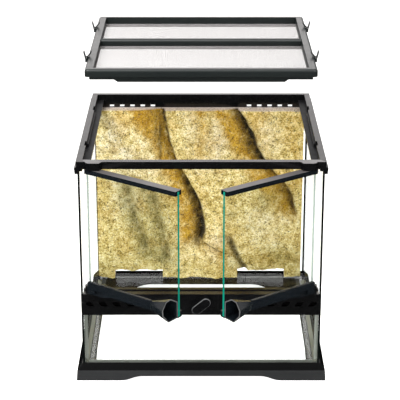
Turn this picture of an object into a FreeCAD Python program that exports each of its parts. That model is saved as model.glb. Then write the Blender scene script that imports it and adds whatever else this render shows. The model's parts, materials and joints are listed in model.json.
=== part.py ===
"""Front-opening glass terrarium (pet cage) with two doors, a screen lid and a rock background.

Frame: +Z up, +X to the right of somebody facing the doors, -Y towards that person.
The origin is the centre of the footprint, on the table.  All sizes are millimetres.
The doors stand part open and the lid is held lifted clear of the tank, its clips above it.
"""
import FreeCAD, Part
import Sketcher
import math
import os
from FreeCAD import Placement, Rotation, Vector

doc = FreeCAD.newDocument("terrarium")
sheet = doc.addObject("Spreadsheet::Sheet", "Dim")

DRIVING = {
    # glass box
    "tank_half": 225.0, "glass_thick": 4.0, "floor_level": 30.0,
    # base
    "base_half": 237.0, "base_fascia": 21.0, "base_upper_half": 235.5, "base_top_half": 226.5,
    "base_height": 33.0, "base_hole_half": 205.0, "arch_height": 9.0, "arch_half": 110.0,
    "foot_inner": 155.0,
    # top frame
    "frame_top": 436.0, "frame_half": 227.0, "frame_inner": 216.0, "frame_bar_back": 214.0,
    "frame_bar_bottom": 422.0, "skirt_bottom": 412.5, "lip_half": 231.0, "ledge_top": 424.0,
    "ledge_inner": 203.0, "notch_near": 104.0, "notch_far": 130.0,
    # cable inlets at the back
    "inlet_first": 101.0, "inlet_pitch": 21.5, "inlet_width": 9.5, "inlet_height": 5.0,
    "inlet_level": 411.0,
    # strip under the doors
    "strip_bottom": 132.5, "strip_top": 175.0, "strip_back": 199.0, "lock_level": 154.0,
    "glass_groove": 5.5,
    # doors
    "door_angle": 36.5, "hinge_x": 204.0, "hinge_y": 222.0, "door_length": 202.5,
    "rail_front": 6.5, "rail_back": 11.0, "door_glass_front": 0.3, "door_glass_thick": 5.0,
    "rail_top": 421.0, "rail_height": 8.7, "door_bottom": 181.5, "sill_top": 198.0,
    "pin_radius": 2.5, "pin_clearance": 0.08,
    # lid
    "lid_lift": 166.0, "lid_half": 208.5, "lid_front": 211.0, "lid_back": 213.0, "lid_height": 14.0,
    "lid_side_member": 15.0, "lid_end_member": 13.0, "crossbar_front": 14.0, "crossbar_back": 27.0,
    "clip_y": 117.0, "clip_width": 14.0, "clip_pivot_x": 211.0, "clip_pivot_z": 434.0,
    # rock background
    "rock_left": 220.5, "rock_right": 215.0, "rock_back": 217.5, "rock_top": 408.0,
}
for row, (alias, number) in enumerate(DRIVING.items(), start=1):
    sheet.set(f"A{row}", alias)
    sheet.set(f"B{row}", str(number))
    sheet.setAlias(f"B{row}", alias)
doc.recompute()


class Size:
    """A length or angle that knows both its number and the sheet expression that gives it."""

    def __init__(self, number, text):
        self.number = number
        self.text = text

    def __add__(self, other):
        return combine(self, "+", other)

    def __radd__(self, other):
        return combine(other, "+", self)

    def __sub__(self, other):
        return combine(self, "-", other)

    def __rsub__(self, other):
        return combine(other, "-", self)

    def __mul__(self, other):
        return combine(self, "*", other)

    def __rmul__(self, other):
        return combine(other, "*", self)

    def __truediv__(self, other):
        return combine(self, "/", other)

    def __neg__(self):
        return combine(-1, "*", self)


def plain(value):
    return value.number if isinstance(value, Size) else float(value)


def text(value):
    return value.text if isinstance(value, Size) else f"{value:g}"


def combine(left, sign, right):
    a, b = plain(left), plain(right)
    number = {"+": a + b, "-": a - b, "*": a * b, "/": a / b if b else 0.0}[sign]
    return Size(number, f"({text(left)} {sign} {text(right)})")


def dim(alias):
    return Size(float(sheet.get(alias)), f"Dim.{alias}")


def bind(item, prop, value):
    """Ties a property to its sheet expression, or sets it when it is a plain number."""
    if isinstance(value, Size):
        item.setExpression(prop, value.text)
    elif "." in prop or prop.startswith("Constraints"):
        item.setExpression(prop, f"{value:g}")
    else:
        setattr(item, prop, value)


# ---------------------------------------------------------------- building blocks

def box(name, low, high):
    """A block between two opposite corners."""
    item = doc.addObject("Part::Box", name)
    for prop, a, b in zip(("Length", "Width", "Height"), low, high):
        bind(item, prop, b - a)
    for axis, a in zip("xyz", low):
        bind(item, f"Placement.Base.{axis}", a)
    return item


def cylinder(name, base, radius, length, along="z"):
    """A round bar from its base point, along +Z or +Y."""
    item = doc.addObject("Part::Cylinder", name)
    bind(item, "Radius", radius)
    bind(item, "Height", length)
    if along == "y":
        item.Placement = Placement(Vector(), Rotation(Vector(1, 0, 0), -90))
    for axis, a in zip("xyz", base):
        bind(item, f"Placement.Base.{axis}", a)
    return item


def cut(name, base, tools):
    item = doc.addObject("Part::Cut", name)
    item.Base = base
    item.Tool = tools[0] if len(tools) == 1 else fuse(f"{name}_cutters", tools)
    return item


def fuse(name, shapes):
    item = doc.addObject("Part::MultiFuse", name)
    item.Shapes = shapes
    item.Refine = True
    return item


def sketch(body, name, plane, offset, loops, closed=True):
    """A sketch on an origin plane of its body; every corner is tied to the sheet."""
    item = body.newObject("Sketcher::SketchObject", name)
    role = next(f for f in body.Origin.OriginFeatures if f.Role == plane)
    item.AttachmentSupport = [(role, "")]
    item.MapMode = "FlatFace"
    bind(item, "AttachmentOffset.Base.z", offset)
    for corners in loops:
        first = len(item.Geometry)
        count = len(corners)
        flat = [Vector(plain(a), plain(b), 0) for a, b in corners]
        edges = count if closed else count - 1
        for i in range(edges):
            item.addGeometry(Part.LineSegment(flat[i], flat[(i + 1) % count]), False)
        for i in range(edges if closed else edges - 1):
            joined = first + (i + 1) % edges
            item.addConstraint(Sketcher.Constraint("Coincident", first + i, 2, joined, 1))
        for i, (a, b) in enumerate(corners):
            edge, end = (first + i, 1) if i < edges else (first + edges - 1, 2)
            for kind, value in (("DistanceX", a), ("DistanceY", b)):
                number = item.addConstraint(
                    Sketcher.Constraint(kind, -1, 1, edge, end, plain(value)))
                if isinstance(value, Size):
                    item.setExpression(f"Constraints[{number}]", value.text)
    return item


def body(name):
    return doc.addObject("PartDesign::Body", name)


def pad(owner, name, profile, length, taper=0.0):
    item = owner.newObject("PartDesign::Pad", name)
    item.Profile = profile
    bind(item, "Length", length)
    item.TaperAngle = taper
    return item


def pocket(owner, name, profile, length, reverse=False):
    """Cuts a pocket and makes sure that it really took something away."""
    before = owner.Shape.Volume
    item = owner.newObject("PartDesign::Pocket", name)
    item.Profile = profile
    bind(item, "Length", length)
    item.Reversed = reverse
    doc.recompute()
    if owner.Shape.Volume > before - 1.0:
        raise RuntimeError(f"{name} cuts nothing")
    return item


def rectangle(x0, y0, x1, y1):
    return [(x0, y0), (x1, y0), (x1, y1), (x0, y1)]


def prism(name, plane, corners, start, length):
    """An outline on an origin plane, padded from start over length along the plane's normal."""
    owner = body(name)
    profile = sketch(owner, f"{name}_outline", plane, start, [corners])
    pad(owner, f"{name}_pad", profile, length)
    return owner


def solid(name, shape):
    item = doc.addObject("Part::Feature", name)
    item.Shape = shape
    return item


def wire(points):
    return Part.makePolygon([Vector(*p) for p in points] + [Vector(*points[0])])


NODES = {}


def node(name, item):
    """Gives the finished piece the label that names its file."""
    item.Label = name
    NODES[name] = item
    return item


# ---------------------------------------------------------------- base

tank_half, glass_thick, floor_level = dim("tank_half"), dim("glass_thick"), dim("floor_level")
inner_half = tank_half - glass_thick
seat_level = floor_level - glass_thick


def arch_tool(name, turn):
    """The low arch between the feet, as a bar that passes under the whole base."""
    half, foot, rise = plain(dim("arch_half")), plain(dim("foot_inner")), plain(dim("arch_height"))
    run = foot - half
    bend = (run * run + rise * rise) / (4 * rise)
    swing = math.asin(run / 2 / bend) / 2
    dx, dz = bend * math.sin(swing), bend * (1 - math.cos(swing))
    reach = 2 * plain(dim("base_half"))

    def at(x, z):
        return Vector(x, -reach / 2 - 1, z)

    def side(s):
        middle = at(s * (foot + half) / 2, rise / 2)
        return [Part.Arc(at(s * foot, 0), at(s * (foot - dx), dz), middle).toShape(),
                Part.Arc(middle, at(s * (half + dx), rise - dz), at(s * half, rise)).toShape()]

    below = -2.0
    edges = side(1) + [Part.makeLine(at(half, rise), at(-half, rise))] + side(-1)
    edges += [Part.makeLine(at(-foot, 0), at(-foot, below)),
              Part.makeLine(at(-foot, below), at(foot, below)),
              Part.makeLine(at(foot, below), at(foot, 0))]
    face = Part.Face(Part.Wire(Part.__sortEdges__(edges)))
    shape = face.extrude(Vector(0, reach + 2, 0))
    shape.rotate(Vector(), Vector(0, 0, 1), turn)
    return solid(name, shape)


def build_base():
    base_half, fascia = dim("base_half"), dim("base_fascia")
    upper, top, height = dim("base_upper_half"), dim("base_top_half"), dim("base_height")
    owner = body("base_shell")
    draft = math.degrees(math.atan(plain(base_half - upper) / plain(fascia)))
    slope = math.degrees(math.atan(plain(upper - top) / plain(height - fascia)))
    pad(owner, "fascia", sketch(owner, "fascia_outline", "XY_Plane", 0,
                                [rectangle(-base_half, -base_half, base_half, base_half)]),
        fascia, -draft)
    pad(owner, "slope", sketch(owner, "slope_outline", "XY_Plane", fascia,
                               [rectangle(-upper, -upper, upper, upper)]),
        height - fascia, -slope)
    doc.recompute()
    hole = dim("base_hole_half")
    pocket(owner, "floor_hole", sketch(owner, "hole_outline", "XY_Plane", height,
                                       [rectangle(-hole, -hole, hole, hole)]), height + 1)
    pocket(owner, "glass_seat", sketch(owner, "seat_outline", "XY_Plane", height,
                                       [rectangle(-tank_half, -tank_half, tank_half, tank_half)]),
           height - seat_level)
    wall, web, roof = 4.5, 3.5, 3.0
    outer, inner = base_half - wall, hole + web
    pocket(owner, "underside", sketch(owner, "underside_outline", "XY_Plane", 0,
                                      [rectangle(-outer, -outer, outer, outer),
                                       rectangle(-inner, -inner, inner, inner)]),
           fascia - roof, reverse=True)
    node("base_frame", cut("base_frame_cut", owner, [arch_tool("arch_front_back", 0),
                                                     arch_tool("arch_sides", 90)]))


def build_glass():
    top, back_short = dim("ledge_top"), 20
    node("floor_glass", box("floor_pane", (-inner_half, -inner_half, seat_level),
                            (inner_half, inner_half, floor_level)))
    node("left_glass", box("left_pane", (-tank_half, -tank_half, seat_level),
                           (-inner_half, tank_half, top)))
    node("right_glass", box("right_pane", (inner_half, -tank_half, seat_level),
                            (tank_half, tank_half, top)))
    node("back_glass", box("back_pane", (-inner_half, inner_half, seat_level),
                           (inner_half, tank_half, top - back_short)))
    node("front_glass", box("front_pane", (-inner_half, -tank_half, seat_level),
                            (inner_half, -inner_half, dim("strip_bottom") + dim("glass_groove"))))


def build_seams():
    """Silicone beads in the inner corners, each its own solid."""
    leg, rock_front = 7.0, 170.0
    half, floor = plain(inner_half), plain(floor_level)
    height = plain(dim("strip_bottom")) - floor - leg
    beads = []
    for s in (-1, 1):
        corner = [(s * half, 0, floor), (s * (half - leg), 0, floor), (s * half, 0, floor + leg)]
        bead = Part.Face(wire(corner)).extrude(Vector(0, half + rock_front, 0))
        bead.translate(Vector(0, -half, 0))
        beads.append(bead)
        upright = [(s * half, -half, 0), (s * (half - leg), -half, 0), (s * half, -half + leg, 0)]
        bead = Part.Face(wire(upright)).extrude(Vector(0, 0, height))
        bead.translate(Vector(0, 0, floor + leg))
        beads.append(bead)
    front = [(0, -half, floor), (0, -half + leg, floor), (0, -half, floor + leg)]
    bead = Part.Face(wire(front)).extrude(Vector(2 * (half - leg), 0, 0))
    bead.translate(Vector(leg - half, 0, 0))
    beads.append(bead)
    node("silicone_seams", solid("silicone_beads", Part.makeCompound(beads)))


# ---------------------------------------------------------------- top frame

def frame_shell():
    """The U-shaped rail over the side and back glass, with its flared skirt."""
    top, half, inner = dim("frame_top"), dim("frame_half"), dim("frame_inner")
    lip, low, ledge = dim("lip_half"), dim("skirt_bottom"), dim("ledge_top")
    shoulder, draft, rail_depth = 10, 1, 18
    owner = body("frame_rail")
    profile = [(inner, top), (half, top), (half, top - shoulder), (lip, ledge), (lip - draft, low),
               (tank_half, low), (tank_half, ledge), (inner_half, ledge),
               (inner_half, top - rail_depth), (inner, top - rail_depth)]
    spine = [(half, -half), (half, half), (-half, half), (-half, -half)]
    path = sketch(owner, "rail_path", "XY_Plane", 0, [spine], closed=False)
    outline = sketch(owner, "rail_section", "XZ_Plane", half, [profile])
    doc.recompute()
    rail = owner.newObject("PartDesign::AdditivePipe", "rail_sweep")
    rail.Profile = outline
    rail.Spine = (path, ["Edge1", "Edge2", "Edge3"])
    rail.Transition = 1
    doc.recompute()
    return owner


# cable inlets: slots on each side, the plate's rim beside the end slots, and the room that the
# gate needs in order to slide shut
SLOTS, PLATE_MARGIN, GATE_ROOM = 5, 9, 22


def build_top_frame():
    top, half, inner = dim("frame_top"), dim("frame_half"), dim("frame_inner")
    bar_bottom, bar_back, ledge = dim("frame_bar_bottom"), dim("frame_bar_back"), dim("ledge_top")
    near, far = dim("notch_near"), dim("notch_far")
    hinge_x, hinge_y = dim("hinge_x"), dim("hinge_y")
    ledge_thick, knuckle_room, step_wide, step_high = 3, 15, 3.5, 7
    bulge, block_outer, block_inner, block_root = 9.5, 201, 185, 180
    level, window_half, recess_half = dim("inlet_level"), 5, 6
    web_low, web_side_low, web_thick = 404, 400, 3
    added = [frame_shell(), box("front_bar", (-inner - 2, -half, bar_bottom), (inner + 2, -bar_back, top))]
    removed = []
    for s, side in ((-1, "left"), (1, "right")):

        def across(a, b):
            return (a, b) if s > 0 else (-b, -a)

        x0, x1 = across(dim("ledge_inner"), inner + 1)
        added.append(box(f"ledge_{side}", (x0, knuckle_room - hinge_y, ledge - ledge_thick),
                         (x1, inner, ledge)))
        x0, x1 = across(inner - step_wide, inner + 1)
        added.append(box(f"step_{side}", (x0, 1 - near, ledge), (x1, near - 1, ledge + step_high)))
        x0, x1 = across(inner_half, tank_half)
        added.append(box(f"cap_{side}", (x0, -half, dim("skirt_bottom")), (x1, -tank_half, ledge)))
        # the hinge block that bulges forward over the door's pivot
        front = half + bulge
        block = [(s * block_outer, -front), (s * block_inner, -front), (s * block_root, -half),
                 (s * block_outer, -half)]
        added.append(prism(f"hinge_block_{side}", "XY_Plane", block[::s], bar_bottom, top - bar_bottom))
        added.append(cylinder(f"hinge_round_{side}", (s * block_outer, -half, bar_bottom), bulge,
                              top - bar_bottom))
        removed.append(cylinder(f"hinge_hole_{side}", (s * hinge_x, -hinge_y, bar_bottom - 1),
                                dim("pin_radius") + dim("pin_clearance"), 10))
        for end, (y0, y1) in (("front", (-far, -near)), ("back", (near, far))):
            x0, x1 = across(inner - 1, inner + 3)
            removed.append(box(f"notch_{side}_{end}", (x0, y0, ledge), (x1, y1, top + 1)))
        # the window for the cable inlets, and the wider recess that their gate slides in
        first, last = dim("inlet_first"), dim("inlet_first") + dim("inlet_pitch") * (SLOTS - 1)
        x0, x1 = across(first - PLATE_MARGIN, last + PLATE_MARGIN)
        removed.append(box(f"inlet_window_{side}", (x0, inner - 2, level - window_half),
                           (x1, half + 9, level + window_half)))
        x0, x1 = across(first - GATE_ROOM, last + PLATE_MARGIN + 2)
        removed.append(box(f"gate_recess_{side}", (x0, tank_half, level - recess_half),
                           (x1, half + 9, level + recess_half)))
    web = [box("web_middle", (-inner_half, inner_half, web_low), (inner_half, tank_half, ledge)),
           box("web_inside", (-inner_half, inner_half - web_thick, web_side_low),
               (inner_half, inner_half, ledge)),
           box("web_outside", (-inner_half, tank_half, web_side_low), (inner_half, half + 1, ledge))]
    node("top_frame", cut("top_frame_cut", fuse("top_frame_blank", added + web), removed))


def build_inlets():
    """Inlet plates with five slots each, and the sliding gates behind them."""
    first, pitch = dim("inlet_first"), dim("inlet_pitch")
    width, height, level = dim("inlet_width"), dim("inlet_height"), dim("inlet_level")
    gap, gate_thick = 0.3, 2.7
    # (name, rim inside the first slot, rim past the last slot, front, back, half height)
    plates = (("inlet_plate", PLATE_MARGIN, PLATE_MARGIN, inner_half - 3, tank_half, 5),
              ("cable_gate", PLATE_MARGIN + 1.5, PLATE_MARGIN + 1, tank_half + gap,
               tank_half + gap + gate_thick, 5.6))
    for s, side in ((-1, "left"), (1, "right")):
        for name, start, stop, y0, y1, tall in plates:
            a, b = first - start, first + pitch * (SLOTS - 1) + stop
            x0, x1 = (a, b) if s > 0 else (-b, -a)
            blank = box(f"{name}_{side}_blank", (x0, y0, level - tall), (x1, y1, level + tall))
            slots = []
            for i in range(SLOTS):
                middle = s * (first + pitch * i)
                slots.append(box(f"{name}_{side}_slot_{i}",
                                 (middle - width / 2, y0 - 1, level - height / 2),
                                 (middle + width / 2, y1 + 1, level + height / 2)))
            node(f"{name}_{side}", cut(f"{name}_{side}_cut", blank, slots))


# ---------------------------------------------------------------- strip under the doors

def build_strip():
    low, top, back = dim("strip_bottom"), dim("strip_top"), dim("strip_back")
    front, lock = dim("frame_half"), dim("lock_level")
    hinge_x, hinge_y = dim("hinge_x"), dim("hinge_y")
    cavity_low, cavity_high, skin, rim = low + 9.5, top - 6, 3, 6
    stop_front, stop_high, post_high = 13.5, 2, 9
    post_inner, post_outer, panel_half, panel_low, panel_high = 210, 218, 218, 146, 163
    slot_first, slot_pitch, slot_count, slot_lean, slot_wide = 48, 25.4, 7, 6, 12
    slot_low, slot_high = 149.5, 158.5
    added = [box("strip_block", (-inner_half, -front, low), (inner_half, -back, top)),
             box("strip_face", (-tank_half, -front, low), (tank_half, -tank_half, top)),
             box("door_stop", (-inner_half, -hinge_y + stop_front, top),
                 (inner_half, -back, top + stop_high))]
    for s, side in ((-1, "left"), (1, "right")):
        x0, x1 = (post_inner, post_outer) if s > 0 else (-post_outer, -post_inner)
        added.append(box(f"corner_post_{side}", (x0, -hinge_y + stop_front, top),
                         (x1, -back, top + post_high)))
    removed = [box("strip_cavity", (rim - inner_half, skin - front, cavity_low),
                   (inner_half - rim, 1 - back, cavity_high)),
               box("glass_groove", (-inner_half, -tank_half, low - 1),
                   (inner_half, -inner_half, low + dim("glass_groove"))),
               box("panel_recess", (-panel_half, -front - 1, panel_low),
                   (panel_half, -front + 1, panel_high)),
               cylinder("spindle_hole", (0, -front - 1, lock), 4.1, 6, along="y")]
    for s, side in ((-1, "left"), (1, "right")):
        removed.append(cylinder(f"lower_hole_{side}", (s * hinge_x, -hinge_y, top - 10),
                                dim("pin_radius") + dim("pin_clearance"), 12))
        # slanted vent slots that lean away from the middle
        for i in range(slot_count):
            x = slot_first + slot_pitch * i
            x1 = x + slot_wide
            corners = [(s * x, slot_low), (s * x1, slot_low), (s * (x1 + slot_lean), slot_high),
                       (s * (x + slot_lean), slot_high)]
            removed.append(prism(f"vent_slot_{side}_{i}", "XZ_Plane", corners[::s], front - 6, 8))
    node("vent_strip", cut("vent_strip_cut", fuse("vent_strip_blank", added), removed))
    node("vent_mesh", box("vent_mesh_sheet", (rim - inner_half, -back - 2.5, cavity_low),
                          (inner_half - rim, -back - 1.7, cavity_high)))


def build_lock():
    """The turning lock: knob in front, spindle through the strip, cam and retainer behind."""
    lock, front = dim("lock_level"), dim("frame_half")
    reach, radius, depth, tilt, spindle = 11.5, 9.0, 11.0, 40.0, 4.0
    blade_long, blade_thick, blade_high = 21.0, 3.0, 9.0
    outline = Part.Wire([
        Part.makeLine(Vector(-reach, 0, -radius), Vector(reach, 0, -radius)),
        Part.Arc(Vector(reach, 0, -radius), Vector(reach + radius, 0, 0),
                 Vector(reach, 0, radius)).toShape(),
        Part.makeLine(Vector(reach, 0, radius), Vector(-reach, 0, radius)),
        Part.Arc(Vector(-reach, 0, radius), Vector(-reach - radius, 0, 0),
                 Vector(-reach, 0, -radius)).toShape()])
    turned = Placement(Vector(0, 0, plain(lock)), Rotation(Vector(0, 1, 0), -tilt))
    knob = Part.Face(outline).extrude(Vector(0, -depth, 0))
    rim = [e for e in knob.Edges if all(abs(v.Point.y + depth) < 0.01 for v in e.Vertexes)]
    knob = knob.makeFillet(3.0, rim)
    dimple = Part.makeCylinder(2.2, 1.0, Vector(-reach - 1, -11.5, -2), Vector(0, 1, 0))
    knob = knob.cut(dimple).cut(Part.makeCylinder(spindle, 7.0, Vector(0, -7, 0), Vector(0, 1, 0)))
    item = node("lock_knob", solid("lock_knob_solid", knob))
    item.Placement = Placement(Vector(0, -plain(front) - 0.5, 0), Rotation()).multiply(turned)
    node("lock_spindle", cylinder("spindle_bar", (0, -front - 7.5, lock), spindle, 22, along="y"))
    blade = Part.makeBox(blade_long, blade_thick, blade_high, Vector(-blade_long / 2, 0, -blade_high / 2))
    blade = blade.fuse(Part.makeCylinder(6.0, blade_thick, Vector(), Vector(0, 1, 0)))
    blade = blade.cut(Part.makeCylinder(spindle, 5, Vector(0, -1, 0), Vector(0, 1, 0))).removeSplitter()
    item = node("lock_cam", solid("lock_cam_solid", blade))
    item.Placement = Placement(Vector(0, 8 - plain(front), 0), Rotation()).multiply(turned)
    ring = Part.makeCylinder(6.5, 1.2, Vector(), Vector(0, 1, 0)).cut(
        Part.makeCylinder(spindle, 3, Vector(0, -1, 0), Vector(0, 1, 0)))
    item = node("lock_retainer", solid("lock_retainer_solid", ring))
    item.Placement = Placement(Vector(0, 4 - plain(front), plain(lock)), Rotation())


# ---------------------------------------------------------------- doors

HANDLE_START = 143.0


def handle_shape(s):
    """A hollow scoop that grows out of the bottom rail and opens towards the free edge."""
    sill_top, low, front = plain(dim("sill_top")), plain(dim("door_bottom")), plain(dim("rail_front"))
    back = plain(dim("door_glass_front")) + 0.05
    length = plain(dim("door_length"))
    start = HANDLE_START
    # (distance in front of the hinge line, level) round each section
    root = [(back, sill_top), (3.0, sill_top), (5.5, sill_top), (front, sill_top - 3),
            (front, low + 4), (5.5, low), (back, low)]
    mouth = [(back, 211.0), (13.0, 219.0), (22.5, 216.0), (30.5, 200.0),
             (29.5, 188.0), (18.0, 174.0), (back, 179.0)]
    slant = 0.4

    def section(ring, t, shrink=0.0, slope=0.0):
        middle = (sum(p[0] for p in ring) / len(ring), sum(p[1] for p in ring) / len(ring))
        points = []
        for o, z in ring:
            away = math.hypot(o - middle[0], z - middle[1])
            keep = (away - shrink) / away
            o1, z1 = middle[0] + (o - middle[0]) * keep, middle[1] + (z - middle[1]) * keep
            points.append((s * (t - slope * (o1 - back)), -o1, z1))
        return wire(points)

    def between(share):
        return [(a[0] + (b[0] - a[0]) * share, a[1] + (b[1] - a[1]) * share)
                for a, b in zip(root, mouth)]

    outer = Part.makeLoft([section(root, start), section(mouth, length - 1, 0, slant)], True, True)
    # the hollow follows the outside at one wall thickness and runs out through the mouth
    deep = 0.3
    t_deep = start + (length - 1 - start) * deep
    hollow = Part.makeLoft([section(between(deep), t_deep, 2.6, slant * deep),
                            section(mouth, length - 1, 2.2, slant),
                            section(mouth, length + 9, 2.2, slant)], True, True)
    return outer.cut(hollow)


def build_door(s, side):
    """One door in its closed place with the hinge line at its own origin, then swung open."""
    angle, hinge_x, hinge_y = dim("door_angle"), dim("hinge_x"), dim("hinge_y")
    length, front, back = dim("door_length"), dim("rail_front"), dim("rail_back")
    pane_front, pane_thick = dim("door_glass_front"), dim("door_glass_thick")
    pane_back = pane_thick - pane_front
    rail_top, rail_height = dim("rail_top"), dim("rail_height")
    low, sill_top, pin = dim("door_bottom"), dim("sill_top"), dim("pin_radius")
    heel, knuckle = 6, 7.5

    def across(a, b):
        return (a, b) if s > 0 else (-b, -a)

    def block(name, t, y, z):
        x0, x1 = across(*t)
        return box(f"{side}_{name}", (x0, y[0], z[0]), (x1, y[1], z[1]))

    def place(name, item):
        """Left hinges turn clockwise seen from above, right hinges the other way."""
        bind(item, "Placement.Base.x", -s * hinge_x)
        bind(item, "Placement.Base.y", -hinge_y)
        if item.TypeId == "Part::Feature":
            base = Vector(-s * plain(hinge_x), -plain(hinge_y), 0)
            item.Placement = Placement(base, Rotation(Vector(0, 0, -s), plain(angle)))
        else:
            item.Placement = Placement(Vector(), Rotation(Vector(0, 0, -s), plain(angle)))
            bind(item, "Placement.Rotation.Angle", angle)
        return node(f"{side}_{name}", item)

    pane_top = rail_top - 2
    place("door_glass", fuse(f"{side}_pane_fuse", [
        block("pane_main", (-heel, length), (-pane_front, pane_back), (low, rail_top - rail_height)),
        block("pane_tongue", (-heel, length), (-pane_front, pane_back),
              (rail_top - rail_height - 1, pane_top))]))
    # top rail: a channel over the pane's upper edge, round at the pivot
    place("top_rail", cut(f"{side}_top_rail_cut", fuse(f"{side}_top_rail_blank", [
        block("top_bar", (-heel, length), (-front, back), (rail_top - rail_height, rail_top)),
        cylinder(f"{side}_top_knuckle", (0, 0, rail_top - rail_height), knuckle, rail_height)]), [
        block("top_slot", (-heel - 1, length + 1), (-pane_front, pane_back),
              (rail_top - rail_height - 1, pane_top)),
        cylinder(f"{side}_top_bore", (0, 0, pane_top), pin, 5)]))
    # bottom rail: outer leg as far as the handle, full-length web and inner leg, tall hinge end
    knee, slope_run, foot, web_thick, leg_high = 33, 14, 176, 3, 9
    outer_low = low - 0.5
    corners = [(-heel, foot), (knee, foot), (knee + slope_run, outer_low), (HANDLE_START, outer_low),
               (HANDLE_START, sill_top), (-heel, sill_top)]
    corners = [(s * a, b) for a, b in corners][::s]
    leg = prism(f"{side}_outer_leg", "XZ_Plane", corners, pane_front, front - pane_front)
    place("bottom_rail", cut(f"{side}_bottom_rail_cut", fuse(f"{side}_bottom_rail_blank", [
        leg,
        block("web", (-heel, length), (-pane_front, back), (low - web_thick, low)),
        block("inner_leg", (-heel, length), (pane_back, back), (low - web_thick, low + leg_high)),
        block("heel", (-heel, 12), (-pane_front, back), (foot, low)),
        block("ridge", (-heel + 1, HANDLE_START), (-front + 1, -pane_front), (sill_top, sill_top + 1.2)),
        cylinder(f"{side}_low_knuckle", (0, 0, foot), knuckle, low - foot)]), [
        block("pocket", (11, 31), (-front - 1, -front + 4), (foot + 1.5, foot + 11)),
        block("ridge_groove", (-heel, HANDLE_START + 1), (-front + 2.2, -front + 3.4),
              (sill_top - 1, sill_top + 2)),
        cylinder(f"{side}_low_bore", (0, 0, foot - 1), pin, low - foot + 1)]))
    place("handle", solid(f"{side}_handle_solid", handle_shape(s)))
    place("upper_pin", cylinder(f"{side}_upper_pin_bar", (0, 0, 0), pin, 11))
    bind(NODES[f"{side}_upper_pin"], "Placement.Base.z", pane_top)
    pin_foot = 166.5
    place("lower_pin", cylinder(f"{side}_lower_pin_bar", (0, 0, 0), pin, low - pin_foot))
    bind(NODES[f"{side}_lower_pin"], "Placement.Base.z", pin_foot)
    strike = length - 22
    place("strike", fuse(f"{side}_strike_fuse", [
        block("strike_plate", (strike, strike + 18), (back, back + 1.2), (low - 2.5, low + 7)),
        block("strike_hook", (strike, strike + 3), (back + 0.5, back + 4), (low - 2.5, low + 7))]))


# ---------------------------------------------------------------- lid

def lifted(name, item):
    """Puts a lid piece at the lifted height; pieces are drawn where they sit when it is shut."""
    bind(item, "Placement.Base.z", dim("lid_lift"))
    return node(name, item)


def build_lid():
    half, front, back = dim("lid_half"), dim("lid_front"), dim("lid_back")
    low, height = dim("ledge_top"), dim("lid_height")
    side, end = dim("lid_side_member"), dim("lid_end_member")
    bar_front, bar_back = dim("crossbar_front"), dim("crossbar_back")
    top, mesh, corner_round, edge_round, overlap = low + height, 0.8, 7.0, 5.0, 4
    window = half - side
    mesh_half = window + overlap - 0.5
    front_edge, back_edge = end - front, back - end
    owner = body("lid_rim")
    plate = pad(owner, "rim_pad", sketch(owner, "rim_outline", "XY_Plane", low,
                                         [rectangle(-half, -front, half, back)]), height)
    doc.recompute()
    corners = [f"Edge{i + 1}" for i, e in enumerate(owner.Shape.Edges)
               if abs(e.tangentAt(e.FirstParameter).z) > 0.9]
    rounding = owner.newObject("PartDesign::Fillet", "rim_corners")
    rounding.Base = (plate, corners)
    rounding.Radius = corner_round
    doc.recompute()
    level = plain(top)
    upper = [f"Edge{i + 1}" for i, e in enumerate(owner.Shape.Edges)
             if all(abs(v.Point.z - level) < 0.01 for v in e.Vertexes)]
    edge = owner.newObject("PartDesign::Fillet", "rim_edge")
    edge.Base = (rounding, upper)
    edge.Radius = edge_round
    doc.recompute()
    pocket(owner, "rim_windows", sketch(owner, "window_outline", "XY_Plane", top, [
        rectangle(-window, front_edge, window, back_edge)]), height + 1)
    pocket(owner, "mesh_rebate", sketch(owner, "rebate_outline", "XY_Plane", low, [
        rectangle(-mesh_half, front_edge - overlap, mesh_half, back_edge + overlap)]),
        mesh, reverse=True)
    lifted("lid_frame", owner)

    cross = body("lid_bar")
    pad(cross, "bar_pad", sketch(cross, "bar_outline", "YZ_Plane", -window, [[
        (bar_front, low + mesh), (bar_back, low + mesh), (bar_back, top - 4), (bar_back - 3, top - 0.8),
        (bar_back - 6, top), (bar_front + 6, top), (bar_front + 3, top - 0.8), (bar_front, top - 4)]]),
        window * 2)
    lifted("lid_crossbar", cross)

    for name, y0, y1 in (("front", front_edge - overlap, bar_front + 6),
                         ("rear", bar_back - 6, back_edge + overlap)):
        lifted(f"lid_screen_{name}", box(f"screen_{name}", (-mesh_half, y0, 0), (mesh_half, y1, mesh)))
        bind(NODES[f"lid_screen_{name}"], "Placement.Base.z", dim("lid_lift") + low)

    # the frame under the rim that clamps both screens, with a deeper lip in front
    ring, depth, lip, lip_half = half - 8, 6, 4.5, 150
    blank = fuse("retainer_blank", [
        box("retainer_ring", (-ring, 5 - front, low - depth), (ring, back - 5, low)),
        prism("retainer_lip", "XZ_Plane", [(-lip_half, low - depth - lip), (lip_half, low - depth - lip),
                                           (lip_half + 6, low - depth), (-lip_half - 6, low - depth)],
              front - 8, 3)])
    lifted("screen_retainer", cut("retainer_cut", blank, [
        box("retainer_front_window", (-window, front_edge, low - depth - 1), (window, bar_front, low + 1)),
        box("retainer_rear_window", (-window, bar_back, low - depth - 1), (window, back_edge, low + 1))]))


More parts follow.
